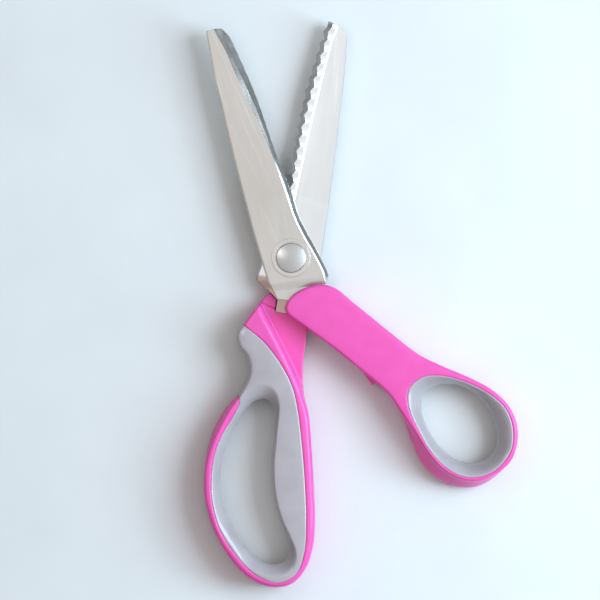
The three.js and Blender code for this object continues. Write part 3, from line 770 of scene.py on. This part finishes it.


def steel(name, dark, light, rough, turn=0.0, tang=None, brushed=0.0):
    """Ground stainless steel with fine marks along the blade and faint cloudiness.

    turn is the blade's angle, tang the darker, warmer colour painted on the tang below the blade's
    shoulder as painted shade from the front blade and painted reflection of the pink handles, and
    brushed how far the marks draw highlights out.
    """
    n = Nodes(name)
    grain = n.noise(1.0, 3, n.mapped((1500, 45, 1500), turn))
    clouds = n.noise(1.0, 3, n.mapped((120, 25, 120), turn))
    scuffs = n.noise(1.0, 2, n.mapped((500, 40, 500), turn + 0.25))
    tone = n.math("ADD", n.math("MULTIPLY", grain, 0.3), n.math("MULTIPLY", clouds, 0.7))
    color = n.ramp(tone, [(0.3, dark), (0.7, light)])
    # Painted shade and painted pink reflection on the tang, below the blade's shoulder.
    if tang:
        height = n.add("ShaderNodeSeparateXYZ", {"Vector": n.place}).outputs["Y"]
        color = n.blend(n.spread(height, 1, 0, *TANG_SHADE_LINE), color, tang)
    # Light scratches along the blade, mostly towards the tip.
    lines = n.spread(n.noise(1.0, 2, n.mapped((900, 22, 900), turn - 0.12)), 0, 1, 0.58, 0.72)
    reach = n.add("ShaderNodeVectorMath", {0: n.place}, operation="LENGTH").outputs["Value"]
    worn = n.math("MULTIPLY", lines, n.spread(reach, 0.15, 1, 0.03, 0.09))
    pale = [0.5 + 0.5 * part for part in light]
    color = n.blend(n.math("MULTIPLY", worn, 0.5), color, pale)
    roughness = n.math("ADD", n.spread(grain, rough - 0.02, rough + 0.02),
                       n.spread(scuffs, -0.015, 0.02))
    roughness = n.math("ADD", roughness, n.math("MULTIPLY", worn, 0.08))
    normal = n.bump(grain, 0.02, 0.000003)
    return n.finish({"Metallic": 1.0, "Anisotropic": brushed},
                    {"Base Color": color, "Roughness": roughness, "Normal": normal})


def plastic(name, dark, light):
    """Glossy moulded plastic with faint mottling and a slightly uneven skin."""
    n = Nodes(name)
    mottle = n.noise(140, 4)
    skin = n.noise(90, 2)
    fine = n.noise(5200, 2)
    color = n.ramp(mottle, [(0.3, dark), (0.7, light)])
    roughness = n.math("ADD", n.spread(mottle, 0.3, 0.38), n.spread(fine, -0.03, 0.04))
    normal = n.bump(fine, 0.1, 0.000012, n.bump(skin, 0.03, 0.0001))
    return n.finish({"Coat Weight": 0.12, "Coat Roughness": 0.12, "IOR": 1.45},
                    {"Base Color": color, "Roughness": roughness, "Normal": normal})


def soft_grip(name, dark, light):
    """Satin moulded rubber with a fine grain."""
    n = Nodes(name)
    mottle = n.noise(110, 4)
    grain = n.noise(4200, 3)
    color = n.ramp(mottle, [(0.3, dark), (0.7, light)])
    roughness = n.math("ADD", n.spread(mottle, 0.32, 0.4), n.spread(grain, -0.04, 0.05))
    normal = n.bump(grain, 0.15, 0.00003)
    return n.finish({"Coat Weight": 0.7, "Coat Roughness": 0.1, "IOR": 1.48},
                    {"Base Color": color, "Roughness": roughness, "Normal": normal})


def nylon(name):
    """Natural nylon, slightly cloudy."""
    n = Nodes(name)
    clouds = n.noise(600, 3)
    color = n.ramp(clouds, [(0.3, (0.68, 0.64, 0.52)), (0.7, (0.76, 0.72, 0.6))])
    return n.finish({"IOR": 1.53}, {"Base Color": color, "Roughness": n.spread(clouds, 0.4, 0.52)})


def floor_material():
    n = Nodes("floor_paper")
    tone = n.noise(18, 4)
    color = n.ramp(tone, [(0.3, (0.64, 0.645, 0.65)), (0.7, (0.68, 0.685, 0.685))])
    return n.finish({}, {"Base Color": color, "Roughness": n.spread(tone, 0.75, 0.85)})


FRONT_TURN = -math.radians(OPEN_ANGLE)
# The back blade's tang colour is painted shade from the front blade and painted reflection of the pink
# handles.
back_steel = steel("back_blade_steel", (0.78, 0.825, 0.86), (0.83, 0.875, 0.91), 0.22,
                   tang=(0.48, 0.35, 0.315), brushed=0.2)
front_steel = steel("front_blade_steel", (0.585, 0.57, 0.55), (0.625, 0.61, 0.59), 0.24,
                    FRONT_TURN, brushed=0.2)
dome_steel = steel("dome_steel", (0.50, 0.50, 0.51), (0.56, 0.56, 0.57), 0.27)
washer_steel = steel("washer_steel", (0.59, 0.575, 0.555), (0.64, 0.625, 0.605), 0.28)
dull_steel = steel("fastener_steel", (0.4, 0.4, 0.41), (0.52, 0.52, 0.53), 0.38)
pink = plastic("pink_plastic", (0.73, 0.072, 0.355), (0.775, 0.083, 0.385))
grey = soft_grip("grey_soft_grip", (0.355, 0.312, 0.335), (0.40, 0.355, 0.38))
washer_nylon = nylon("friction_washer_nylon")

# ---------------------------------------------------------------- pieces

place(blade("back_blade_ground", False, FINGER_TANG),
      "back_half", "back_blade", "blade_steel", back_steel)
place(blade("front_blade_ground", True, THUMB_TANG),
      "front_half", "front_blade", "blade_steel", front_steel)

axes = grid((-24, -139), (32, -11))
shell, soft = finger_fields(*axes)
place(field_mesh("finger_shell", shell, axes, False),
      "back_half", "finger_handle_core", "handle_plastic", pink)
place(field_mesh("finger_soft_grip", soft, axes, False),
      "back_half", "finger_grip", "soft_grip", grey)

axes = grid((-12, -116), (74, -10))
shell, soft = thumb_fields(*axes)
place(field_mesh("thumb_shell", shell, axes, True),
      "front_half", "thumb_handle_core", "handle_plastic", pink)
place(field_mesh("thumb_soft_liner", soft, axes, True),
      "front_half", "thumb_ring_liner", "soft_grip", grey)

place(bolt("domed_pivot_bolt"), "back_half", "pivot_bolt", "pivot_steel", dome_steel)
place(nut("hexagon_pivot_nut"), "back_half", "pivot_nut", "pivot_steel", dull_steel)
place(washer("rear_spring_washer", 6.4, NUT_HEIGHT - MID, 3.1 - MID, 0.15),
      "back_half", "spring_washer", "pivot_steel", dull_steel)
place(washer("nylon_friction_washer", 7.8, -0.5, 0, 0.1),
      "back_half", "friction_washer", "bearing_plastic", washer_nylon)
place(washer("dished_front_washer", 8, 0.1 - OUTER, HEAD_SEAT, 0.12, 0.06),
      "back_half", "front_washer", "pivot_steel", washer_steel)

# ---------------------------------------------------------------- floor, light and camera

def floor():
    """A wide flat floor just under the handles."""
    size = 1.6
    gap = 0.0001
    height = (MID - HALF) * MM - gap
    corners = np.array([[-size, -size, height], [size, -size, height],
                        [size, size, height], [-size, size, height]])
    piece = mesh_object("floor", corners, [[0, 1, 2, 3]])
    piece.data.materials.append(floor_material())


def soft_light(name, at, aim, size, watts, color):
    """A rectangular soft light of (width, length), aimed at a point."""
    light = bpy.data.lights.new(name, "AREA")
    light.shape = "RECTANGLE"
    light.size, light.size_y = size
    light.energy = watts
    light.color = color
    lamp = bpy.data.objects.new(name, light)
    bpy.context.scene.collection.objects.link(lamp)
    lamp.location = at
    direction = (np.array(aim) - np.array(at)).tolist()
    lamp.rotation_euler = Vector(direction).to_track_quat("-Z", "Y").to_euler()
    return lamp


def studio_world():
    """Soft surroundings, brightest overhead, and cool on the right but dim and warm on the left."""
    world = bpy.data.worlds.new("studio")
    world.use_nodes = True
    bpy.context.scene.world = world
    tree = world.node_tree
    place_node = tree.nodes.new("ShaderNodeTexCoord")
    height_stops = ((0, 0.12), (0.4, 0.24), (0.66, 0.5), (0.86, 0.86), (0.98, 1))
    side_stops = ((0, (0.72, 0.68, 0.66)), (0.42, (0.86, 0.84, 0.83)),
                  (0.6, (1, 0.985, 0.97)), (1, (0.94, 1.04, 1.13)))
    colors = []
    for axis, shift, stops in (
            ((0.12, 0.06, 0.99), 0, [(at, (level, level, level)) for at, level in height_stops]),
            ((0.48, 0.14, 0), 0.5, side_stops)):
        lean = tree.nodes.new("ShaderNodeVectorMath")
        lean.operation = "DOT_PRODUCT"
        lean.inputs[1].default_value = axis
        tree.links.new(place_node.outputs["Generated"], lean.inputs[0])
        value = tree.nodes.new("ShaderNodeMath")
        value.inputs[1].default_value = shift
        tree.links.new(lean.outputs["Value"], value.inputs[0])
        ramp = tree.nodes.new("ShaderNodeValToRGB")
        tree.links.new(value.outputs["Value"], ramp.inputs["Fac"])
        set_stops(ramp, stops)
        colors.append(ramp.outputs["Color"])
    product = tree.nodes.new("ShaderNodeVectorMath")
    product.operation = "MULTIPLY"
    tree.links.new(colors[0], product.inputs[0])
    tree.links.new(colors[1], product.inputs[1])
    background = tree.nodes["Background"]
    tree.links.new(product.outputs["Vector"], background.inputs["Color"])
    background.inputs["Strength"].default_value = 1.0


def camera():
    """Looks straight down from far away, turned so that the shears lean as in the photograph."""
    aim = (6.55, -16.56)
    width = 248.7  # seen at the plane between the blades
    distance = 2000
    turn = 9.5
    sensor = 36
    data = bpy.data.cameras.new("camera")
    data.sensor_width = sensor
    data.lens = sensor * distance / width
    data.clip_end = 10
    piece = bpy.data.objects.new("camera", data)
    bpy.context.scene.collection.objects.link(piece)
    piece.location = (aim[0] * MM, aim[1] * MM, (distance + MID) * MM)
    piece.rotation_euler = (0, 0, math.radians(turn))
    bpy.context.scene.camera = piece


floor()
studio_world()
soft_light("key", (0.62, 0.18, 0.68), (0, -0.03, 0), (0.55, 0.55), 8.4, (0.7, 0.86, 1.0))
soft_light("left_strip", (-0.45, 0.15, 0.8), (0, -0.02, 0), (0.08, 0.6), 0.7, (1.0, 0.98, 0.96))
low_light = soft_light("right_low", (0.75, 0.0, 0.3), (0, -0.05, 0), (0.3, 0.3), 4.2,
                       (0.57, 0.87, 1.0))
low_light.visible_glossy = False  # it fills the handles' holes, and isn't mirrored in the steel
camera()
bpy.context.scene.view_settings.view_transform = "Standard"
